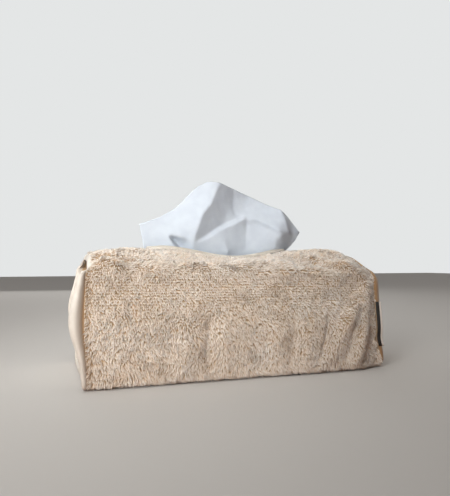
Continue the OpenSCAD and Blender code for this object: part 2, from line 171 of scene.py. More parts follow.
end_flap("carton_left_flap", True)
end_flap("carton_right_flap", False)

# The film under the carton's oval. Clear polyethylene, blown thin and glued to the inside of the
# board. It is slit along its middle, and the slit's edges hold the next tissue up.

# Clear and glossy, with the faint haze of blown film and its ripples, about 22 mm apart
RIPPLE = 22.2
film, tree = new_finish("clear polyethylene film")
where = add(tree, "ShaderNodeTexCoord").outputs["Object"]
ripple = add(tree, "ShaderNodeTexNoise", {"Vector": where, "Scale": 1 / (RIPPLE * MM), "Detail": 1.0})
bump = add(tree, "ShaderNodeBump", {"Height": ripple.outputs["Fac"], "Strength": 0.4, "Distance": 2 * MM})
put_out(tree, add(tree, "ShaderNodeBsdfPrincipled", {
    "Base Color": linear("#e9eef0"), "Roughness": 0.12, "IOR": 1.5, "Alpha": 0.3,
    "Normal": bump.outputs["Normal"],
}).outputs["BSDF"])
cover_with("slit_film", film)

# The tissues that are left. Soft white two-ply tissue, each folded into the next and pressed
# into a stack, whose folded edges show as fine lines.


def bands(gap):
    """The scale at which the bands of a wave texture lie gap millimetres apart."""
    return math.pi / 10 / (gap * MM)


# White with a very slight blue from its brightener. The folds are 0.6 mm apart, which is too
# fine to show, so they are drawn 3.6 mm apart.
PLY_GAP = 3.6
stacked, tree = new_finish("stacked two-ply tissue")
where = add(tree, "ShaderNodeTexCoord").outputs["Object"]
plies = add(tree, "ShaderNodeTexWave", {
    "Vector": where, "Scale": bands(PLY_GAP), "Distortion": 3.0, "Detail": 2.0, "Detail Scale": 2.0,
}, bands_direction="Z")
colour = two_tone(tree, plies.outputs["Fac"], "#dfe2e6", "#eff2f5")
bump = add(tree, "ShaderNodeBump", {"Height": plies.outputs["Fac"], "Strength": 0.5, "Distance": 0.5 * MM})
put_out(tree, add(tree, "ShaderNodeBsdfPrincipled", {
    "Base Color": colour, "Roughness": 0.95, "Normal": bump.outputs["Normal"],
}).outputs["BSDF"])
cover_with("tissue_stack", stacked)

# The sleeve. One panel of cotton terry towelling, wrapped round the carton with its pile out.
# Its two edges meet along the top and are sewn together past each end of the slot.

# Values of the cover's form are those of the part's source and keep their names
half_w = 60
top_r = 12
foot_r = 6
wall_belly = 1.6
foot_spread = 10
roof_belly = 1.6
ridge_share = 0.45
slot_w = 24
slot_x0 = -78
slot_x1 = 67
# Ten stations go round the cloth from the slot's front lip, at these distances from it
ROUND = 10
ROUND_RUNS = [0, 48, 66, 142, 151, 205, 259, 268, 344, 362, 410]

# Heights of the top's middle and edges along x
roof_mid = [(-130, 101), (-108, 106), (-84, 108.5), (-62, 106.5), (6, 97), (78, 108), (102, 110),
            (124, 104.5)]
front_edge = [(-130, 95.5), (-60, 94.5), (105, 93.5), (127, 85.5)]
back_edge = [(-130, 97), (-60, 95.5), (105, 94.5), (127, 90.5)]
# Where the cloth ends at each mouth, how wide its tape is, and how the front wall spreads at the
# floor: each against the station or x
left_cloth_front = [(0, -116), (1, -118.5), (2, -124.5), (2.45, -125.5), (3, -123), (5, -121.2)]
left_cloth_back = [(0, -116), (1, -115.5), (2, -118), (2.45, -121), (3, -119), (5, -121.2)]
left_tape_front = [(0, 5), (1, 5), (1.9, 6.2), (2.42, 12.4), (2.85, 6.4), (3, 5.4), (5, 4.6)]
left_tape_back = [(0, 5), (1, 5), (1.9, 6), (2.45, 10.4), (2.9, 6), (5, 4.6)]
right_cloth = [(0, 123.5), (1, 122.5), (2, 121.5), (2.7, 121.8), (3, 126.5), (4, 124.5), (5, 122.5)]
right_tape = [(0, 5), (1, 5.5), (2, 7.4), (2.7, 7.2), (3, 4.6), (5, 5)]
front_spread = [(-125, 0.2), (-60, 0.4), (0, 0.6), (60, 0.95), (98, 1), (124, 0.35)]

# Folds of the cloth: x and distance round it from the slot at both ends, half width and height
front_folds = [
    (-127, 10, -127, 52, 9, -4.5), (-112, 50, -106, 51, 8, 3.6), (-120, 38, -108, 35, 3.5, -4.4),
    (-108, 35, -98, 42, 3.5, -3.4), (-117, 24, -100, 22, 7, 1.2), (-96, 48, -90, 68, 7, -2.0),
    (-92, 14, -72, 26, 10, 1.4), (84, 10, 100, 22, 10, 1.2), (72, 36, 93, 52, 6, 2.0),
    (93, 52, 112, 72, 6, 2.6), (66, 46, 84, 62, 6, -1.6), (113, 76, 91, 104, 5.5, 2.0),
    (91, 104, 73, 134, 5.5, 2.0), (104, 76, 84, 98, 5, -1.3), (84, 98, 66, 124, 5, -1.1),
    (114, 84, 105, 116, 5, 2.0), (105, 116, 97, 138, 5, 2.0), (106, 96, 88, 136, 4.5, -1.2),
    (118, 118, 110, 140, 5, -1.4), (12, 64, 62, 60, 4.5, 1.3), (10, 71, 60, 68, 4.5, -1.0),
    (-101, 100, -99, 128, 9, 1.0), (-66, 112, -68, 136, 5, -1.1), (-52, 106, -54, 138, 5.5, 1.1),
    (-32, 104, -34, 136, 5, -1.2), (-20, 100, -21, 136, 5.5, 1.1), (8, 112, 7, 138, 5, -0.8),
    (24, 106, 22, 138, 6, 1.0), (40, 104, 36, 138, 5, -1.2), (53, 96, 49, 138, 5, 1.2),
    (-95, 88, -93, 97, 2.5, -1.6), (-33, 103, -35, 126, 4, -1.8), (15, 118, 13, 130, 3, -1.4),
    (52, 95, 53, 108, 2.5, -2.2), (73, 101, 65, 130, 2.5, -2.2), (2, 44, 40, 50, 9, 1.7),
    (48, 54, 84, 50, 8, -1.6),
]
back_folds = [
    (-114, 48, -98, 50, 10, 2.4), (-96, 62, -88, 92, 8, -1.6), (-74, 40, -58, 62, 7, 1.4),
    (-40, 64, -44, 100, 7, -1.2), (-6, 60, -2, 92, 8, 1.0), (34, 56, 30, 88, 7, -1.2),
    (70, 38, 92, 58, 7, 2.0), (92, 58, 112, 76, 6, 2.0), (113, 82, 94, 116, 6, 2.0),
    (106, 84, 84, 112, 5, -1.6), (-80, 106, -82, 136, 6, 1.1), (-24, 108, -26, 138, 6, -1.0),
    (18, 106, 20, 138, 6, 1.1), (56, 100, 54, 136, 6, -1.1),
]


def at(t, table):
    """Values at t in a table of (t, value) rows, eased from one row to the next."""
    keys, values = np.array(table, float).T
    i = np.clip(np.searchsorted(keys, t, side="right") - 1, 0, len(keys) - 2)
    k = np.clip((t - keys[i]) / (keys[i + 1] - keys[i]), 0, 1)
    return values[i] + (values[i + 1] - values[i]) * k * k * (3 - 2 * k)


def down(q):
    """How far a station is from the slot. Stations run from it, 0, down the front wall to the
    middle of the base, 5, and up the back to it again, 10."""
    return np.where(q <= ROUND / 2, q, ROUND - q)


def cloth_end(q, left):
    """Where the cloth ends at a mouth."""
    if not left:
        return at(down(q), right_cloth)
    return np.where(q <= ROUND / 2, at(down(q), left_cloth_front), at(down(q), left_cloth_back))


def lip_y(x):
    """Half the width of the slot."""
    k = np.clip((x - slot_x0) / (slot_x1 - slot_x0), 0, 1)
    return slot_w / 2 * np.abs(np.sin(math.pi * k)) ** 0.6


def plain(x, q):
    """Points of the smooth cover at x and station q."""
    front, d = q <= ROUND / 2, down(q)
    edge = np.where(front, at(x, front_edge), at(x, back_edge))
    lip, mid = lip_y(x), at(x, roof_mid)
    hub_y, hub_z = half_w - top_r, edge - top_r
    slope = np.arctan2(hub_z - mid, hub_y - lip) + np.arcsin(top_r / np.hypot(hub_y - lip, hub_z - mid))
    meet_y, meet_z = hub_y - top_r * np.sin(slope), hub_z + top_r * np.cos(slope)
    sewn = 1 - np.minimum(1, lip / 7)
    ridge = sewn * (meet_z - mid) * ridge_share / 2 * np.maximum(0, 1 - d / ridge_share) ** 2
    turn = (math.pi / 2 + slope) * (2 - d)
    wall = np.clip(d - 2, 0, 1)
    foot = math.pi / 2 * (d - 3)
    spread = np.where(front, foot_spread * at(x, front_spread), 0)
    places = [d <= 1, d <= 2, d <= 3, d <= 4]
    out = np.select(places, [
        lip + (meet_y - lip) * d,
        hub_y + top_r * np.cos(turn),
        half_w + wall_belly * np.sin(math.pi * wall) ** 2 + spread * wall * wall * (3 - 2 * wall),
        half_w + spread - foot_r + foot_r * np.cos(foot),
    ], (half_w + spread - foot_r) * (5 - d))
    up = np.select(places, [
        mid + (meet_z - mid) * d + roof_belly * np.sin(math.pi * d) ** 2 + ridge,
        hub_z + top_r * np.sin(turn),
        hub_z + (foot_r - hub_z) * wall,
        foot_r - foot_r * np.sin(foot),
    ], 0)
    return np.stack([x + 0 * out, np.where(front, -out, out), up], -1)


NEARBY = 0.02


def skin(x, q, lift):
    """Points of the cloth, lift outwards from the smooth cover."""
    a, b = plain(x, np.maximum(0, q - NEARBY)), plain(x, np.minimum(ROUND, q + NEARBY))
    along = (b - a) / np.linalg.norm(b - a, axis=-1, keepdims=True)
    outward = np.stack([0 * q, along[..., 2], -along[..., 1]], -1)
    outward = np.where(((q > 4 + NEARBY) & (q < 6 - NEARBY))[..., None], [0, 0, -1], outward)
    return plain(x, q) + np.asarray(lift)[..., None] * outward


FOLDS_END = 150
FOLDS_FADE = 16


def fold(x, q):
    """Height of the cloth's folds, which die away towards the floor."""
    s = np.interp(down(q), range(6), ROUND_RUNS[:6])
    place = np.stack([x + 0 * s, s], -1)
    total = []
    for folds in (front_folds, back_folds):
        height = np.zeros_like(s)
        for ax, a_s, bx, b_s, half, high in folds:
            a, run = np.array([ax, a_s]), np.array([bx - ax, b_s - a_s])
            k = np.clip((place - a) @ run / (run @ run), 0, 1)
            off = np.linalg.norm(place - a - k[..., None] * run, axis=-1)
            height += high * np.exp(-(off / half) ** 2)
        total.append(height)
    kept = np.clip((FOLDS_END - s) / FOLDS_FADE, 0, 1)
    return np.where(q <= ROUND / 2, *total) * kept * kept * (3 - 2 * kept)


# The woven ground of the towelling lies under the pile and is tucked under the tapes
GROUND_LIFT = -3.0
GROUND_T = 1.0
GROUND_LOW = 2.9
CLOTH_LONG = 247
MOUTH_TUCK = 3.0
CELL = 3.0


def stations(step):
    """Stations of half of the cover, step millimetres apart."""
    return np.concatenate([
        np.linspace(i, i + 1, max(2, round((ROUND_RUNS[i + 1] - ROUND_RUNS[i]) / step)) + 1)[:-1]
        for i in range(5)
    ])


half_round = stations(CELL)
all_round = np.concatenate([half_round, [5], ROUND - half_round[::-1]])
n_along = round(CLOTH_LONG / CELL)
share = np.linspace(0, 1, n_along + 1)[:, None]
q = np.broadcast_to(all_round, (n_along + 1, len(all_round)))
left_end, right_end = cloth_end(q, True) - MOUTH_TUCK, cloth_end(q, False) + MOUTH_TUCK
x = left_end + (right_end - left_end) * share
points = skin(x, q, GROUND_LIFT + fold(x, q))
points[..., 2] = np.maximum(points[..., 2], GROUND_LOW)
per = len(all_round)
cut = np.stack([x, np.interp(q, range(ROUND + 1), ROUND_RUNS)], -1)
faces = [[j * per + i, j * per + i + 1, (j + 1) * per + i + 1, (j + 1) * per + i]
         for j in range(n_along) for i in range(per - 1)]

# Plain ground weave in the same yarn as the pile, dull, with its threads in relief. Its colour is
# painted darker and browner than the yarn's, as painted shade of the gaps under the loops.
# Threads 0.7 mm apart are finer than the render shows, so they are drawn at 1.2 mm. The dye
# drifts over patches about 17 mm wide.
THREAD = 1.2
DYE_PATCH = 16.7
ground, tree = new_finish("terry ground weave, cotton")
cut_place = add(tree, "ShaderNodeUVMap", uv_map="cut").outputs["UV"]
weave = add(tree, "ShaderNodeTexChecker", {"Vector": cut_place, "Scale": 1 / (THREAD * MM)})
drift = add(tree, "ShaderNodeTexNoise", {"Vector": cut_place, "Scale": 1 / (DYE_PATCH * MM), "Detail": 3.0})
# Painted shade: both tones lie well below the yarn's, for the shade between the loops
colour = two_tone(tree, drift.outputs["Fac"], "#b79a77", "#c8ae8c")
bump = add(tree, "ShaderNodeBump", {"Height": weave.outputs["Fac"], "Strength": 0.5, "Distance": 0.4 * MM})
put_out(tree, add(tree, "ShaderNodeBsdfPrincipled", {
    "Base Color": colour, "Roughness": 0.95, "Sheen Weight": 0.2, "Normal": bump.outputs["Normal"],
}).outputs["BSDF"])

cloth = shape("terry_ground", points.reshape(-1, 3), faces, ground, uv=cut.reshape(-1, 2))
thick = cloth.modifiers.new("cloth thickness", "SOLIDIFY")
thick.thickness = GROUND_T * MM
thick.offset = -1
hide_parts("terry_sleeve")

# The pile. Each tuft is one uncut loop of soft cotton yarn that stands in the ground weave and
# lies over the loop below it. The loops stand in rows across the cloth, which show near its top
# edge. Lower down they are longer, hang, and part and meet in small tufts.

# The loops are as close as in common towelling. Their yarn, about 0.4 mm thick, is drawn at
# 0.58 mm, so that it hides the ground as the real one does.
ROW_GAP = 1.95
LOOP_GAP = 0.74
YARN_R = 0.29
LOOP_LONG = 3.7
LOOP_HALF = 0.32
PILE_LONG = 243
PILE_LOW = 0.25
ROOT_SINK = 0.3
WALL_TOP = 90
# How far a loop strays from its row, in row gaps, against its distance from the slot
STRAY = [(40, 0.4), (50, 0.4), (66, 0.3), (78, 0.2), (110, 0.48)]
# No loop stands in the front or back lip's tape
LIP_BARE = 0.11
LIP_BARE_END = 4
# Corners of a yarn's outer half, in degrees round it. The inner half is never seen.
OUTER_HALF = [-100, 0, 100]
# Where the label lies on the right seam
LABEL_LOW = 19
LABEL_L = 38


def wander(points, size, seed):
    """Smooth noise from about -1 to 1 through space, with lumps of about that size."""
    rng = np.random.default_rng(seed)
    total = np.zeros(len(points))
    for _ in range(12):
        direction = rng.normal(size=3)
        direction *= rng.uniform(0.7, 1.5) / np.linalg.norm(direction)
        total += np.sin(points @ direction * 2 * math.pi / size + rng.uniform(0, 2 * math.pi))
    return total / 4


def unit(v):
    """Vectors brought to length one."""
    return v / np.maximum(1e-9, np.linalg.norm(v, axis=-1, keepdims=True))


def ground_at(x, q):
    """Points of the ground weave, where the loops stand."""
    return skin(x, q, GROUND_LIFT + fold(x, q))


def rows_of_loops(first, last, coarse, rng):
    """Where the loops stand between two stations."""
    start, stop = np.interp([first, last], range(ROUND + 1), ROUND_RUNS)
    rows, cols = round((stop - start) / ROW_GAP), round(PILE_LONG / LOOP_GAP / coarse)
    row, col = (a.ravel() for a in np.meshgrid(np.arange(rows), np.arange(cols), indexing="ij"))
    s = start + (row + 0.5) / rows * (stop - start)
    below_slot = np.minimum(s, ROUND_RUNS[-1] - s)
    s = s + rng.uniform(-1, 1, s.shape) * np.interp(below_slot, *zip(*STRAY)) * ROW_GAP
    q = np.interp(s, ROUND_RUNS, range(ROUND + 1))
    k = (col + 0.25 + 0.5 * (row % 2) + rng.uniform(-0.35, 0.35, s.shape)) / cols
    x = cloth_end(q, True) + (cloth_end(q, False) - cloth_end(q, True)) * k
    bare = (down(q) < LIP_BARE) & (x > slot_x0 + LIP_BARE_END) & (x < slot_x1 - LIP_BARE_END)
    return x[~bare], q[~bare], k[~bare]


def strands(middle, outward, radius, turns, closed):
    """Yarn along each row of points: the corners of its rings, and its faces. The turns are the
    angles of a ring's corners, measured from the side that faces out of the cloth."""
    ahead = np.empty_like(middle)
    ahead[:, 1:-1] = middle[:, 2:] - middle[:, :-2]
    ahead[:, 0], ahead[:, -1] = middle[:, 1] - middle[:, 0], middle[:, -1] - middle[:, -2]
    ahead = unit(ahead)
    out = outward[:, None, :] * np.ones_like(ahead)
    out = unit(out - np.sum(out * ahead, -1, keepdims=True) * ahead)
    beside = np.cross(ahead, out)
    angle = np.radians(turns)[None, None, :, None]
    points = middle[:, :, None] + radius[:, None, None, None] * (
        np.cos(angle) * out[:, :, None] + np.sin(angle) * beside[:, :, None])
    n, rings = middle.shape[:2]
    sides = len(turns)
    ring, j = np.meshgrid(np.arange(rings - 1), np.arange(sides - (not closed)), indexing="ij")
    after = (j + 1) % sides
    quad = np.stack([ring * sides + j, ring * sides + after, (ring + 1) * sides + after,
                     (ring + 1) * sides + j], -1).reshape(1, -1, 4)
    faces = (np.arange(n)[:, None, None] * rings * sides + quad).reshape(-1, 4)
    return points, faces


def pile(name, first, last, coarse, material, seed):
    """The loops between two stations of the cover. Where the pile is coarse, there are fewer and
    thicker ones."""
    rng = np.random.default_rng(seed)
    x, q, k = rows_of_loops(first, last, coarse, rng)
    n = len(x)
    root = ground_at(x, q)
    side = unit(ground_at(x + 0.5, q) - ground_at(x - 0.5, q))
    below = ground_at(x, np.minimum(ROUND, q + 0.01)) - ground_at(x, np.maximum(0, q - 0.01))
    normal = unit(np.cross(below, side))
    fore = np.cross(normal, side)
    downhill = np.array([0, 0, -1]) + normal[:, 2:] * normal
    steep = np.clip(np.linalg.norm(downhill, axis=-1), 0, 1)[:, None]
    low = np.clip((WALL_TOP - root[:, 2:]) / WALL_TOP, 0, 1) * steep

    # Loops lean together in patches 20 mm wide and in tufts 5 mm wide
    sway = (0.55 * wander(root, 22, 21) + 0.45 * wander(root, 6, 22) + rng.normal(0, 0.35, n))[:, None]
    nod = (0.5 * wander(root, 18, 23) + 0.45 * wander(root, 5, 24) + rng.normal(0, 0.25, n))[:, None]
    # At the mouths they fall over the seam, but the label holds them back
    by_label = (q < ROUND / 2) & (np.abs(root[:, 2] - LABEL_LOW - LABEL_L / 2) < LABEL_L / 2 + 1)
    right_lean = np.clip((k - 0.98) / 0.02, 0, 1) * np.where(by_label, -0.25, 0.5)
    over_edge = (right_lean - np.clip((0.012 - k) / 0.012, 0, 1))[:, None]
    nap = fore * (0.4 * np.sign(ROUND / 2 - q)[:, None] + 0.7 * nod) * (1.3 - steep)
    # Round the top edge the pile turns from hanging to lying towards the slot
    turned = 2.0 * steep * (1 - steep)
    lean = unit(1.3 * downhill + side * (0.7 * sway + 1.8 * over_edge + turned) + nap)
    long = LOOP_LONG * (0.78 + 0.28 * low[:, 0] + 0.12 * wander(root, 9, 25) + rng.normal(0, 0.08, n)
                        + 0.1 * np.abs(over_edge[:, 0]))
    # Each stands at its root and lies down towards its tip, more so at the foot of the wall
    upright = np.radians(16 + 16 * low[:, 0] + 9 * wander(root, 14, 26) + rng.normal(0, 9, n))
    laid = np.radians(62 + 20 * low[:, 0] + 10 * wander(root, 7, 27) + rng.normal(0, 12, n))
    path = [root - ROOT_SINK * normal]
    for i in range(3):
        tilt = (upright + (laid - upright) * (i + 0.5) / 3)[:, None]
        path.append(path[-1] + long[:, None] / 3 * (normal * np.cos(tilt) + lean * np.sin(tilt)))
    twist = rng.uniform(-1.1, 1.1, n)[:, None]
    across = unit(np.cross(lean, normal)) * np.cos(twist) + normal * np.sin(twist)
    half = coarse * LOOP_HALF * rng.uniform(0.7, 1.3, n)[:, None] * across
    belly = (path[1] + path[2]) / 2
    tip = path[3] + rng.uniform(-0.5, 0.5, (n, 1)) * half
    middle = np.stack([path[0] - 0.4 * half, belly - half, tip, belly + half, path[0] + 0.4 * half], 1)
    thick = coarse * YARN_R * rng.uniform(0.85, 1.15, n)
    points, faces = strands(middle, normal, thick, OUTER_HALF, False)
    points[..., 2] = np.maximum(points[..., 2], PILE_LOW + 0.2 * rng.uniform(size=(n, 1, 1)))
    # Each point keeps which loop it is on, for its own tone, and how far up the loop, for the painted shade
    # towards its root
    marks = np.empty((*points.shape[:3], 2))
    marks[..., 0] = rng.uniform(0, 1000, (n, 1, 1))
    marks[..., 1] = np.array([0, 550, 1000, 550, 0])[None, :, None]
    return shape(name, points.reshape(-1, 3), faces.tolist(), material, uv=marks.reshape(-1, 2))


# Soft-spun cotton yarn dyed a warm beige. It is dull, with a little sheen from its fibre ends.
# Each loop takes the dye a little differently, with a drift over patches about 22 mm wide. Down
# each loop the colour is painted darker and warmer towards its root, as painted shade deep in
# the pile. Its twist, 0.5 mm long, is drawn at 0.8 mm.
YARN_PATCH = 22.2
YARN_TWIST = 0.8
yarn, tree = new_finish("soft cotton loop yarn, beige")
where = add(tree, "ShaderNodeTexCoord").outputs["Object"]
cut_place = add(tree, "ShaderNodeUVMap", uv_map="cut").outputs["UV"]
mark = add(tree, "ShaderNodeSeparateXYZ", {"Vector": cut_place})
drift = add(tree, "ShaderNodeTexNoise", {"Vector": where, "Scale": 1 / (YARN_PATCH * MM), "Detail": 3.0})
own = add(tree, "ShaderNodeMath", {0: mark.outputs["X"], 1: 0.3}, operation="MULTIPLY")
shared = add(tree, "ShaderNodeMath", {0: drift.outputs["Fac"], 1: 0.7, 2: own.outputs["Value"]},
             operation="MULTIPLY_ADD")
tips = two_tone(tree, shared.outputs["Value"], "#f8eddf", "#fffcf8", 0.3, 0.7)
# Painted shade: the roots are darker and warmer than the tips, for the shade deep in the pile
root_shade_tones = two_tone(tree, shared.outputs["Value"], "#c29c70", "#d9bf9c", 0.3, 0.7)
yarn_tone_and_root_shade = add(tree, "ShaderNodeMix", {"Factor": mark.outputs["Y"], 6: root_shade_tones, 7: tips}, data_type="RGBA")
twist = add(tree, "ShaderNodeTexNoise", {"Vector": where, "Scale": 1 / (YARN_TWIST * MM), "Detail": 1.0})
bump = add(tree, "ShaderNodeBump", {"Height": twist.outputs["Fac"], "Strength": 0.4, "Distance": 0.3 * MM})
put_out(tree, add(tree, "ShaderNodeBsdfPrincipled", {
    "Base Color": yarn_tone_and_root_shade.outputs[2], "Roughness": 0.9, "Sheen Weight": 0.3, "Sheen Roughness": 0.5,
    "Normal": bump.outputs["Normal"],
}).outputs["BSDF"])

# The back, which has no label and few folds, has a slightly coarser pile
BACK_COARSE = 1.18
pile_pieces = [
    pile("pile_front_roof", 0.03, 1.8, 1.0, yarn, 11),
    pile("pile_front_upper", 1.8, 2.45, 1.0, yarn, 12),
    pile("pile_front_lower", 2.45, 4.0, 1.0, yarn, 13),
    pile("pile_back_lower", 6.0, 7.55, BACK_COARSE, yarn, 14),
    pile("pile_back_upper", 7.55, 8.2, BACK_COARSE, yarn, 15),
    pile("pile_back_roof", 8.2, 9.97, BACK_COARSE, yarn, 16),
]

# The end tapes. A plain-woven cotton tape is folded round each mouth and sewn through: a valley
# at the seam, a soft roll outside, and a flat return inside.

TAPE_T = 0.8
TAPE_CELL = 2.6
# Cloth from one column of the tape's section to the next, for the scale of its weave
TAPE_COLUMN = 1.0
SEAM_GAP = 0.3
TAPE_VALLEY = -2.2
VALLEY_SHARE = 0.18
TAPE_PUFF = 1.9
TAPE_FLARE = 2.1
TAPE_DROOP = 5.0
TAPE_PUCKER = 0.2
TAPE_LOW = 0.1
# The return inside the mouth, from this lift down, takes this share of the cloth's folds
RETURN_LIFT = -3
RETURN_FOLD = 0.6
# Where the left roll swells and where it hangs, against the station
SWELLS = [(1.6, 0), (2.42, 1), (2.95, 0)]
HANGS = [(0, 1), (1.3, 1), (1.9, 0), (5, 0)]
# Sections of the tapes: share of the width, lift from the cover
LEFT_NOSE = [(0.96, -1.8), (1, -2.7), (0.95, -3.6), (0.8, -3.98), (0.4, -3.98), (0, -3.98), (0, -3.18),
             (0.4, -3.18), (0.8, -3.18), (0.86, -2.7)]
# The right tape has curled inwards past the edge of the cloth
RIGHT_PROFILE = [(0, -1.5), (0.18, -1.2), (0.4, -1.2), (0.6, -1.7), (0.8, -2.6), (0.95, -3.5),
                 (1, -4.3), (0.93, -5), (0.8, -5.2), (0.45, -4.2), (0, -4.1), (0, -3.3), (0.45, -3.3),
                 (0.72, -4.1), (0.86, -4.2), (0.8, -3.5), (0.6, -2.5), (0.4, -2.1), (0.18, -2.0), (0, -2.1)]


def end_tape_w(q, left):
    """Width of a mouth's tape."""
    if not left:
        return at(down(q), right_tape)
    return np.where(q <= ROUND / 2, at(down(q), left_tape_front), at(down(q), left_tape_back))


def crown(k, q):
    """Lift of the left tape's outer face at a share of its width: a valley, then a roll."""
    past = np.maximum(0, k - VALLEY_SHARE) / (1 - VALLEY_SHARE)
    roll = TAPE_PUFF + TAPE_FLARE * at(down(q), SWELLS)
    return TAPE_VALLEY + roll * np.sin(math.pi * past ** 1.25) ** 0.8


def tube_faces(n, per, joined):
    """Faces of a tube with n sections of per points, joined to a ring or closed at its ends."""
    faces = [[a * per + i, a * per + (i + 1) % per, b * per + (i + 1) % per, b * per + i]
             for a, b in zip(range(n), [*range(1, n), *([0] if joined else [])]) for i in range(per)]
    if not joined:
        faces += [list(range(per))[::-1], list(range((n - 1) * per, n * per))]
    return faces


def end_tape(name, left, material, node):
    """One mouth's tape, as a closed band that is rounded by subdivision."""
    half = stations(TAPE_CELL)
    q = np.concatenate([half, [5], ROUND - half[::-1][:-1]])
    width, start = end_tape_w(q, left), cloth_end(q, left)
    if left:
        outer = [(k + 0 * q, crown(k, q)) for k in (0, 0.1, 0.18, 0.26, 0.36, 0.48, 0.6, 0.72, 0.82, 0.9)]
        under = [(np.minimum(k, 0.8), np.minimum(lift - TAPE_T, TAPE_VALLEY)) for k, lift in outer[::-1]]
        columns = outer + [(k + 0 * q, lift + 0 * q) for k, lift in LEFT_NOSE] + under
    else:
        columns = [(k + 0 * q, lift + 0 * q) for k, lift in RIGHT_PROFILE]
    pucker = np.interp(np.arange(len(q)), np.arange(0, len(q), 2),
                       np.random.default_rng(5).normal(0, TAPE_PUCKER, (len(q) + 1) // 2))
    points, cut = [], []
    for column, (k, lift) in enumerate(columns):
        held = np.where(lift < RETURN_LIFT, RETURN_FOLD, 1.0)
        wave = pucker * np.sin(math.pi * np.clip(k, 0, 1)) * (lift > RETURN_LIFT)
        place = skin(start, q, lift + wave + held * fold(start, q))
        place[:, 0] = start + (width * k + SEAM_GAP) * (-1 if left else 1)
        if left:
            place[:, 2] -= TAPE_DROOP * np.clip(k, 0, 1) * at(down(q), HANGS)
        place[:, 2] = np.maximum(place[:, 2], TAPE_LOW)
        points.append(place)
        cut.append(np.stack([np.interp(q, range(ROUND + 1), ROUND_RUNS), column * TAPE_COLUMN + 0 * q], -1))
    points, cut = np.stack(points, 1), np.stack(cut, 1)
    faces = tube_faces(*points.shape[:2], True)
    if left:
        faces = [f[::-1] for f in faces]
    tape = shape(name, points.reshape(-1, 3), faces, material, uv=cut.reshape(-1, 2))
    smooth = tape.modifiers.new("soft roll", "SUBSURF")
    smooth.levels = smooth.render_levels = 1
    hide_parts(node)
    return tape


# Stitches of cream thread in the valley, 3 mm apart, which sew the tape through all its layers
STITCH_GAP = 3.0
STITCH_LONG = 2.2
STITCH_PROUD = 0.25
STITCH_DIP = 1.2
STITCH_IN = 1.1
THREAD_R = 0.22
THREAD_LOW = 0.3


def stitches(name, left, material):
    """The row of lockstitches along one mouth."""
    s = np.arange(1.5, ROUND_RUNS[-1] - 1, STITCH_GAP)
    middle = []
    for part in (-0.5, -0.25, 0, 0.25, 0.5):
        q = np.interp(s + part * STITCH_LONG, ROUND_RUNS, range(ROUND + 1))
        start = cloth_end(q, left)
        lift = TAPE_VALLEY + STITCH_PROUD - STITCH_DIP * abs(part) ** 2
        place = skin(start, q, lift + fold(start, q))
        place[:, 0] = start + (STITCH_IN + SEAM_GAP) * (-1 if left else 1)
        place[:, 2] = np.maximum(place[:, 2], THREAD_LOW)
        middle.append(place)
    middle = np.stack(middle, 1)
    outward = unit(np.cross(middle[:, 4] - middle[:, 0], [1.0, 0, 0]))
    thick = np.full(len(s), THREAD_R)
    points, faces = strands(middle, outward, thick, [0, 72, 144, 216, 288], True)
    return shape(name, points.reshape(-1, 3), faces.tolist(), material)


# The tone drifts over patches 11 mm wide; shade is painted by the seam over this part of the width
TONE_PATCH = 11.1
SEAM_SHADE_SPAN = (2.0, 4.5)


def tape_finish(name, dark, light, thread, seam_shade_colour=None):
    """Plain-woven cotton: threads cross at right angles in relief, with a soft uneven tone. In the
    seam, when a colour is given, the valley's shade is painted on in that colour."""
    made, tree = new_finish(name)
    cut_place = add(tree, "ShaderNodeUVMap", uv_map="cut").outputs["UV"]
    where = add(tree, "ShaderNodeTexCoord").outputs["Object"]
    weave = add(tree, "ShaderNodeTexChecker", {"Vector": cut_place, "Scale": 1 / (thread * MM)})
    drift = add(tree, "ShaderNodeTexNoise", {
        "Vector": where, "Scale": 1 / (TONE_PATCH * MM), "Detail": 3.0,
    })
    colour = two_tone(tree, drift.outputs["Fac"], dark, light)
    if seam_shade_colour:
        axes = add(tree, "ShaderNodeSeparateXYZ", {"Vector": cut_place})
        # Painted shade: the tape's valley by the seam is coloured brown, fading out across its width
        seam = add(tree, "ShaderNodeMapRange", {
            "Value": axes.outputs["Y"], "From Min": SEAM_SHADE_SPAN[0] * MM, "From Max": SEAM_SHADE_SPAN[1] * MM,
            "To Min": 1.0, "To Max": 0.0,
        })
        colour = add(tree, "ShaderNodeMix", {
            "Factor": seam.outputs["Result"], 6: colour, 7: linear(seam_shade_colour),
        }, data_type="RGBA").outputs[2]
    both = add(tree, "ShaderNodeMath", {0: weave.outputs["Fac"], 1: drift.outputs["Fac"]}, operation="ADD")
    bump = add(tree, "ShaderNodeBump", {
        "Height": both.outputs["Value"], "Strength": 0.35, "Distance": 0.2 * MM,
    })
    put_out(tree, add(tree, "ShaderNodeBsdfPrincipled", {
        "Base Color": colour, "Roughness": 0.88, "Sheen Weight": 0.15, "Normal": bump.outputs["Normal"],
    }).outputs["BSDF"])
    return made


# Cream cotton, matte and nearly smooth. Its threads are 0.4 mm apart and drawn at 0.8 mm.
# The brown given here is painted shade in the valley at the seam
cream_tape = tape_finish("cream plain-woven cotton tape", "#d8d2c8", "#e4dfd6", 0.8, "#b3926d")
left_tape = end_tape("left_mouth_tape", True, cream_tape, "left_end_tape")
right_tape_piece = end_tape("right_mouth_tape", False, cream_tape, "right_end_tape")
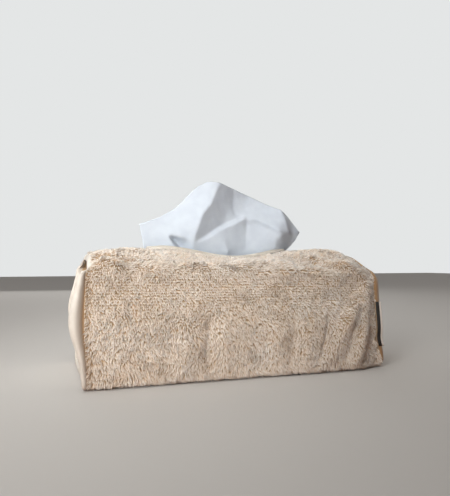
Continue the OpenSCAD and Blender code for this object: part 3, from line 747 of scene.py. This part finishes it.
# Polyester sewing thread: cream, with a slight shine on its twist, which is 0.4 mm long
THREAD_TWIST = 0.4
thread, tree = new_finish("cream polyester sewing thread")
where = add(tree, "ShaderNodeTexCoord").outputs["Object"]
plies = add(tree, "ShaderNodeTexNoise", {"Vector": where, "Scale": 1 / (THREAD_TWIST * MM), "Detail": 1.0})
put_out(tree, add(tree, "ShaderNodeBsdfPrincipled", {
    "Base Color": two_tone(tree, plies.outputs["Fac"], "#d3c5ae", "#eadfcd"), "Roughness": 0.55,
}).outputs["BSDF"])
seams = [stitches("left_mouth_stitches", True, thread), stitches("right_mouth_stitches", False, thread)]

# The lip tapes. Narrow smooth cotton tape, thinner than the end tapes, is folded over each lip of
# the slot and sewn down, so that the cut edge doesn't fray. The hem inside pads it.

LIP_TAPE_W = 5
LIP_PUFF = 2.3
LIP_STEPS = 64
LIP_COLUMN = 0.9
ROOF_RUN = 50
# Where the slot starts and ends, as shares of the cloth's length
SLOT_FROM = 7 / 38
SLOT_TO = 28 / 38


def lip_tape(name, front, material, node):
    """One lip's tape. Its section has the share of the width, the lift, and the hem's padding."""
    profile = [(1, -0.9, 0), (0.85, -0.6, 0.45), (0.65, -0.4, 0.85), (0.4, -0.4, 1), (0.1, -0.6, 1),
               (-0.16, -1.4, 0.75), (-0.24, -2.5, 0.3), (-0.16, -3.6, 0), (0.1, -4.1, 0), (0.5, -4.1, 0),
               (1, -4.1, 0), (1, -3.3, 0), (0.5, -3.3, 0), (0, -3.3, 0), (-0.06, -2.5, 0), (0, -1.75, 0),
               (0.5, -1.75, 0), (1, -1.75, 0)]
    along = np.linspace(SLOT_FROM, SLOT_TO, LIP_STEPS)
    columns, cut = [], []
    for column, (k, lift, padded) in enumerate(profile):
        depth = max(0, k) * LIP_TAPE_W / ROOF_RUN
        q = np.full(len(along), depth if front else ROUND - depth)
        x = cloth_end(q, True) + (cloth_end(q, False) - cloth_end(q, True)) * along
        puff = LIP_PUFF * np.sqrt(lip_y(x) / (slot_w / 2))
        place = skin(x, q, lift + padded * puff + fold(x, q))
        place[:, 1] += (-1 if front else 1) * min(0, k) * LIP_TAPE_W
        columns.append(place)
        cut.append(np.stack([x, column * LIP_COLUMN + 0 * x], -1))
    points, cut = np.stack(columns, 1), np.stack(cut, 1)
    faces = tube_faces(*points.shape[:2], False)
    if not front:
        faces = [f[::-1] for f in faces]
    tape = shape(name, points.reshape(-1, 3), faces, material, uv=cut.reshape(-1, 2))
    smooth = tape.modifiers.new("soft edge", "SUBSURF")
    smooth.levels = smooth.render_levels = 1
    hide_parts(node)
    return tape


# Thinner tape in a greyish beige, matte. Its threads are 0.3 mm apart and drawn at 0.7 mm.
taupe_tape = tape_finish("greyish beige cotton lip tape", "#c0b9ae", "#d2ccc2", 0.7)
front_lip = lip_tape("front_lip_binding", True, taupe_tape, "front_lip_tape")
back_lip = lip_tape("back_lip_binding", False, taupe_tape, "back_lip_tape")

# The label. A damask-woven ribbon of black polyester with a white edge, folded in two and caught
# in the right seam. It is left bare.

LABEL_W = 5
LABEL_STEPS = 30
LABEL_PROUD = 0.9


def label():
    """The label's points, faces and flat pattern, lying on the right tape."""
    z = np.linspace(LABEL_LOW, LABEL_LOW + LABEL_L, LABEL_STEPS)
    wall_high = front_edge[-1][1] - top_r - foot_r
    q = 3 - (z - foot_r) / wall_high
    start = cloth_end(q, False) + SEAM_GAP
    width = end_tape_w(q, False)
    outer = [0.03, 0.15, 0.3, 0.45, 0.6, 0.75, 0.9, 1.0]
    section = [(k, 0.9) for k in outer] + [(1.05, 0.45)] + [(k, 0.1) for k in outer[::-1]]
    tape_k, tape_lift = zip(*RIGHT_PROFILE[:3])
    columns, cut = [], []
    for k, rise in section:
        lift = np.interp(k * LABEL_W / width, tape_k, tape_lift) + LABEL_PROUD + rise
        place = skin(start, q, fold(start, q) + lift)
        place[:, 0] = start + k * LABEL_W
        columns.append(place)
        cut.append(np.stack([z, np.full(LABEL_STEPS, k * LABEL_W)], -1))
    points, cut = np.stack(columns, 1), np.stack(cut, 1)
    return points.reshape(-1, 3), tube_faces(*points.shape[:2], False), cut.reshape(-1, 2)


# Black polyester satin with a slight shine. A white stripe is woven in along its fold. The
# threads are 0.15 mm apart and drawn at 1 mm.
STRIPE_FROM = 3.1
WEFT = 1.0
satin, tree = new_finish("black damask label with a white edge")
cut_place = add(tree, "ShaderNodeUVMap", uv_map="cut").outputs["UV"]
axes = add(tree, "ShaderNodeSeparateXYZ", {"Vector": cut_place})
stripe = add(tree, "ShaderNodeMath", {0: axes.outputs["Y"], 1: STRIPE_FROM * MM}, operation="GREATER_THAN")
colour = two_tone(tree, stripe.outputs["Value"], "#14110f", "#f2eee8", 0.4, 0.6)
weft = add(tree, "ShaderNodeTexWave", {"Vector": cut_place, "Scale": bands(WEFT)}, bands_direction="X")
bump = add(tree, "ShaderNodeBump", {"Height": weft.outputs["Fac"], "Strength": 0.3, "Distance": 0.1 * MM})
put_out(tree, add(tree, "ShaderNodeBsdfPrincipled", {
    "Base Color": colour, "Roughness": 0.5, "Sheen Weight": 0.1, "Normal": bump.outputs["Normal"],
}).outputs["BSDF"])
points, faces, cut = label()
label_piece = shape("seam_label", points, faces, satin, uv=cut)
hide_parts("woven_label")

# The tissue that stands in the slot. One soft two-ply sheet, pinched up through the film with
# sharp folds where it was pinched, and spread above the slot.

# Places of the sheet's folds and edges: x, distance towards the back, height
net = {
    "slot_l": (-72.8, 0, 106.4), "tip_l": (-75.6, 5, 126.2), "a2": (-57.2, 5, 132.8),
    "a3": (-45.9, 4.5, 139.6), "a4": (-38.3, 3.5, 146.0), "a5": (-32.3, 2, 153.2),
    "a6": (-24.4, 0, 160.6), "a7": (-16.8, -3, 164.8), "p1": (-12.2, -6, 165.3),
    "p2": (-5.2, -8, 164.4), "b1": (11.9, 1, 160.5), "b2": (27.5, 5.5, 155.7),
    "b3": (38.7, 1.5, 150.0), "b4": (46.5, -4, 145.5), "b5": (54.5, -11, 141.7),
    "c0": (61.8, -9, 136.0), "c1": (76.7, -6, 121.5), "c2": (73.0, -3, 113.2),
    "c3": (71.3, 3, 108.6), "c4": (65.8, 2, 104.1), "r1": (-15.1, -12, 144.8),
    "r2": (-23.4, -14.5, 135.9), "r3": (-30.1, -12.5, 116.6), "r4": (-30.5, -9, 109.3),
    "r5": (-28.8, -4, 101.9), "l1": (-20.0, -7, 148.3), "l2": (-28.9, -9.5, 135.1),
    "l3": (-34.5, -9, 121.9), "l4": (-58.2, 0.5, 119.3), "l5": (-44.3, -1.5, 128.4),
    "d0": (-52.1, -4, 116.6), "d1": (-45.2, 3.5, 113.1), "d2": (-34.2, -7, 112.7),
    "d3": (-44.9, -4, 104.9), "d4": (-35.8, 4, 104.2), "d5": (-66.7, 2, 105.7),
    "s1": (10.3, -0.5, 147.6), "s2": (11.1, -1, 138.3), "v1": (-18.3, -7.5, 116.2),
    "v2": (-3.9, -4.5, 125.2), "v3": (17.5, -2.5, 135.1), "e1": (-17.5, -9.5, 113.4),
    "e2": (-3.5, -8.5, 121.8), "e3": (19.3, -6.5, 132.6), "f0": (-1.9, -9.5, 111.9),
    "f1": (-14.7, -8, 101.9), "f2": (2.1, -9, 101.6), "g0": (22.7, -3.5, 127.3),
    "g1": (21.9, -4, 115.2), "g2": (20.9, -5, 102.2), "h1": (36.3, -8, 113.4),
    "h2": (47.7, -14, 113.3), "h3": (36.5, -7.5, 103.2), "h4": (49.9, -9.5, 104.9),
    "h5": (51.4, -17, 117.4), "h6": (59.1, -4.5, 105.7), "k0": (24.3, -5.5, 131.4),
    "k1": (30.2, -8, 132.8), "k2": (41.9, -13.5, 126.9), "k3": (49.4, -19, 121.6),
    "k4": (61.5, -13.5, 120.6), "k5": (57.4, -15.5, 130.2), "m1": (32.1, -6, 128.9),
    "m2": (43.1, -11, 123.1), "m3": (49.8, -16, 118.5),
}
# Folded lines of the sheet, each through these places
creases = [
    "p2 r1 r2 r3 r4 r5", "p1 l1 l2 l3 d2", "d0 d2 r4", "d0 d3", "d1 d4", "d0 d1", "r4 e1 e2 e3",
    "r4 v1 v2 v3 e3", "b1 s1 s2 v3", "e3 g0 g1 g2", "k0 k1 k2 k3 k4", "k0 m1 m2 m3 h5", "b5 k5 k4",
    "k4 h5 h6", "e3 k0", "h1 h3", "h2 h4", "f0 f2",
]
OUTLINE = ("slot_l tip_l a2 a3 a4 a5 a6 a7 p1 p2 b1 b2 b3 b4 b5 c0 c1 c2 c3 c4").split()
STACK_TOP = 73.1
NECK_LOW = 75.3
FOOT_RUN = 34
# The sheet's lower corners, at the film, and its waver there
FOOT_FROM, FOOT_TO = -67, 58
FOOT_POINTS = 8
FOOT_WAVER = 0.7
SHOULDER = 90
# Size of the sheet's cells, and how often it is drawn smooth
FINE = 1.15
RELAX = 60


def fine_points(border):
    """Points of the sheet: even steps along its border, then staggered rows inside."""
    closed = np.concatenate([border, border[:1]])
    sides = list(zip(closed[:-1], closed[1:]))
    outline = []
    for a, b in sides:
        pieces = max(1, round(np.linalg.norm(b - a) / FINE))
        outline += [a + (b - a) * i / pieces for i in range(pieces)]
    outline = np.array(outline)
    xs = np.arange(border[:, 0].min(), border[:, 0].max(), FINE)
    zs = np.arange(border[:, 1].min(), border[:, 1].max(), FINE * 0.87)
    inside = []
    for i, z in enumerate(zs):
        for x in xs + (FINE / 2 if i % 2 else 0):
            crossed = sum((a[1] > z) != (b[1] > z) and x < a[0] + (b[0] - a[0]) * (z - a[1]) / (b[1] - a[1])
                          for a, b in sides)
            if crossed % 2 and np.min(np.linalg.norm(outline - [x, z], axis=1)) > FINE * 0.55:
                inside.append((x, z))
    return outline, np.array(inside)


def net_depth(spots, corners, depth, triangles):
    """Depth of each point on the flat fields between the folds."""
    y = np.zeros(len(spots))
    best = np.full(len(spots), -1e9)
    for a, b, c in triangles:
        pa, pb, pc = corners[a], corners[b], corners[c]
        area = np.cross(pb - pa, pc - pa)
        if abs(area) < 1e-6:
            continue
        u = np.cross(spots - pa, pc - pa) / area
        v = np.cross(pb - pa, spots - pa) / area
        inner = np.minimum(np.minimum(u, v), 1 - u - v)
        value = depth[a] + (depth[b] - depth[a]) * u + (depth[c] - depth[a]) * v
        y = np.where((inner > best) & (inner > -0.05), value, y)
        best = np.maximum(best, inner)
    return y


def tissue():
    """The sheet's points, faces and flat pattern."""
    names = list(net)
    key = np.array([net[n] for n in names], float)
    # Below the slot the sheet runs straight down to the film and the stack
    foot_x = np.linspace(FOOT_FROM, FOOT_TO, FOOT_POINTS)
    low = [(x, FOOT_WAVER * math.sin(i * 2.3), z)
           for z in (SHOULDER, NECK_LOW, NECK_LOW - FOOT_RUN) for i, x in enumerate(foot_x)]
    key = np.concatenate([key, low])
    flat = [Vector((p[0], p[2])) for p in key]
    folds = []
    for crease in creases:
        run = [names.index(n) for n in crease.split()]
        folds += list(zip(run[:-1], run[1:]))
    corner = len(names)
    ring = [names.index(n) for n in OUTLINE] + [corner + i for i in (7, 15, 23, 16, 8, 0)]
    folds += list(zip(ring, ring[1:] + ring[:1]))
    verts, _, triangles, origin, _, _ = delaunay_2d_cdt(flat, folds, [ring], 1, 1e-4)
    depth = np.array([key[min(o)][1] if o else 0.0 for o in origin])
    corners = np.array([v[:] for v in verts])

    outline, inside = fine_points(np.array([flat[i][:] for i in ring]))
    loop = list(range(len(outline)))
    verts, edges, faces, _, _, _ = delaunay_2d_cdt(
        [Vector(p) for p in np.concatenate([outline, inside])],
        list(zip(loop, loop[1:] + loop[:1])), [loop], 1, 1e-4)
    spots = np.array([v[:] for v in verts])
    y = net_depth(spots, corners, depth, triangles)

    # Between its folds the sheet is drawn smooth, and the folds themselves are a little round
    held = np.zeros(len(spots), bool)
    for i, j in folds:
        a, run = key[i][[0, 2]], key[j][[0, 2]] - key[i][[0, 2]]
        k = np.clip((spots - a) @ run / (run @ run), 0, 1)
        held |= np.linalg.norm(spots - a - k[:, None] * run, axis=1) < FINE * 0.6
    ends = np.array(edges)
    for turn in range(RELAX):
        total, count = y.copy(), np.ones(len(y))
        np.add.at(total, ends[:, 0], y[ends[:, 1]])
        np.add.at(total, ends[:, 1], y[ends[:, 0]])
        np.add.at(count, ends.ravel(), 1)
        y = np.where(held & (turn < RELAX - 1), y, total / count)
    place = np.stack([spots[:, 0], y, spots[:, 1]], -1)
    # Above the slot it is free and wavers a little. Its foot is folded flat onto the stack.
    free = np.clip((place[:, 2] - 104) / 14, 0, 1)
    place[:, 1] += free * (0.22 * wander(place, 19, 31) + 0.07 * wander(place, 8, 32))
    foot = spots[:, 1] < NECK_LOW
    run = (NECK_LOW - spots[foot, 1]) / FOOT_RUN
    place[foot, 1] = FOOT_RUN * run
    place[foot, 2] = STACK_TOP + (NECK_LOW - STACK_TOP) * (1 - run) ** 2
    return place, faces, spots


# Two-ply tissue: dull blue-white, a little cloudy, thin enough to let some light through, with a
# fine crepe about 0.5 mm from ridge to ridge that is drawn at 2 mm.
CREPE = 2.0
CLOUDY = 8.33
PLIES_T = 0.2
paper, tree = new_finish("white two-ply facial tissue")
cut_place = add(tree, "ShaderNodeUVMap", uv_map="cut").outputs["UV"]
crepe = add(tree, "ShaderNodeTexWave", {
    "Vector": cut_place, "Scale": bands(CREPE), "Distortion": 4.0, "Detail": 2.0, "Detail Scale": 1.5,
}, bands_direction="Y")
cloudy = add(tree, "ShaderNodeTexNoise", {"Vector": cut_place, "Scale": 1 / (CLOUDY * MM), "Detail": 4.0})
colour = two_tone(tree, cloudy.outputs["Fac"], "#dce4ed", "#e2eaf2")
bump = add(tree, "ShaderNodeBump", {"Height": crepe.outputs["Fac"], "Strength": 0.15, "Distance": 0.1 * MM})
soft = add(tree, "ShaderNodeBsdfPrincipled", {
    "Base Color": colour, "Roughness": 0.95, "Normal": bump.outputs["Normal"],
})
through = add(tree, "ShaderNodeBsdfTranslucent", {"Color": colour, "Normal": bump.outputs["Normal"]})
put_out(tree, add(tree, "ShaderNodeMixShader", {
    "Fac": 0.35, 1: soft.outputs["BSDF"], 2: through.outputs["BSDF"],
}).outputs["Shader"])
points, faces, cut = tissue()
sheet = shape("drawn_tissue", points, faces, paper, uv=cut)
thick = sheet.modifiers.new("two plies", "SOLIDIFY")
thick.thickness = PLIES_T * MM
thick.offset = 0
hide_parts("pulled_tissue")

# The floor, the light and the camera. Soft daylight comes from a window at the left, and the room
# sends some of it back from above, from behind and from the near side.

# Pale and even to the camera, which sees the shadow on it. What it throws back onto the object
# is warmer and darker. Places and sizes from here on are in metres.
FLOOR_HALF = 3.0
plain_floor, tree = new_finish("pale floor")
seen = add(tree, "ShaderNodeLightPath").outputs["Is Camera Ray"]
put_out(tree, add(tree, "ShaderNodeBsdfPrincipled", {
    "Base Color": two_tone(tree, seen, "#8a5724", "#d9d8d5", 0.4, 0.6), "Roughness": 0.8,
}).outputs["BSDF"])
mesh = bpy.data.meshes.new("floor")
mesh.from_pydata([(x * FLOOR_HALF, y * FLOOR_HALF, 0) for x, y in ((-1, -1), (1, -1), (1, 1), (-1, 1))],
                 [], [(0, 1, 2, 3)])
mesh.materials.append(plain_floor)
floor = bpy.data.objects.new("floor", mesh)
bpy.context.scene.collection.objects.link(floor)

world = bpy.data.worlds.new("soft room")
bpy.context.scene.world = world
world.use_nodes = True
tree = world.node_tree
tree.nodes.clear()
rays = add(tree, "ShaderNodeLightPath").outputs
seen = add(tree, "ShaderNodeMath", {0: rays["Is Camera Ray"], 1: rays["Is Glossy Ray"]}, operation="ADD")
seen = add(tree, "ShaderNodeMath", {0: seen.outputs["Value"], 1: rays["Is Transmission Ray"]},
           operation="ADD", use_clamp=True)
# The room is brighter on the window's side
side = add(tree, "ShaderNodeSeparateXYZ", {"Vector": add(tree, "ShaderNodeTexCoord").outputs["Generated"]})
across = add(tree, "ShaderNodeMapRange", {"Value": side.outputs["X"], "From Min": -1.0, "From Max": 1.0})
tint = two_tone(tree, across.outputs["Result"], "#f1f5fa", "#e2b07a", 0.2, 0.9)
level = add(tree, "ShaderNodeMapRange", {"Value": across.outputs["Result"], "To Min": 0.34, "To Max": 0.09})
room = add(tree, "ShaderNodeBackground", {"Color": tint, "Strength": level.outputs["Result"]})
backdrop = add(tree, "ShaderNodeBackground", {"Color": linear("#e4e6e6"), "Strength": 1.0})
mixed = add(tree, "ShaderNodeMixShader", {
    "Fac": seen.outputs["Value"], 1: room.outputs["Background"], 2: backdrop.outputs["Background"],
})
add(tree, "ShaderNodeOutputWorld", {"Surface": mixed.outputs["Shader"]})


def lamp(name, place, target, size, watts, colour, spread=180):
    """A soft square lamp that shines from its place towards the target."""
    light = bpy.data.lights.new(name, "AREA")
    light.shape = "SQUARE"
    light.size = size
    light.energy = watts
    light.color = linear(colour)[:3]
    light.spread = math.radians(spread)
    made = bpy.data.objects.new(name, light)
    made.location = place
    made.rotation_euler = (Vector(target) - Vector(place)).to_track_quat("-Z", "Y").to_euler()
    bpy.context.scene.collection.objects.link(made)


lamp("window", (-0.44, -0.36, 0.32), (-0.08, 0, 0.2), 0.35, 0.53, "#fffdfa", 58)
lamp("light of the near side", (-0.5, -0.7, 0.32), (-0.19, -0.06, 0.09), 0.4, 0.19, "#fffbf6", 27)
lamp("ceiling", (-0.14, -0.12, 1.0), (0.02, 0, 0.12), 0.8, 2.25, "#fffdfa")
lamp("light from behind", (0.1, 1.0, 0.6), (0, 0, 0.07), 1.2, 2.5, "#fffcf8")

# The camera's place and lens were fitted to the photograph by the carton's known size. The lens
# is given in pixels of a picture 496 pixels high.
CAMERA_AT = (-0.1583, -0.4304, 0.093)
CAMERA_TURN = -20.5
CAMERA_UP = 1.6
FOCAL_PX = 500
FRAME_HIGH = 496
SENSOR = 36
camera_data = bpy.data.cameras.new("camera")
camera_data.sensor_width = SENSOR
camera_data.lens = SENSOR * FOCAL_PX / FRAME_HIGH
camera_data.clip_start = 0.01
camera = bpy.data.objects.new("camera", camera_data)
camera.location = CAMERA_AT
camera.rotation_euler = (math.radians(90 + CAMERA_UP), 0, math.radians(CAMERA_TURN))
bpy.context.scene.collection.objects.link(camera)
bpy.context.scene.camera = camera
bpy.context.scene.view_settings.view_transform = "Standard"
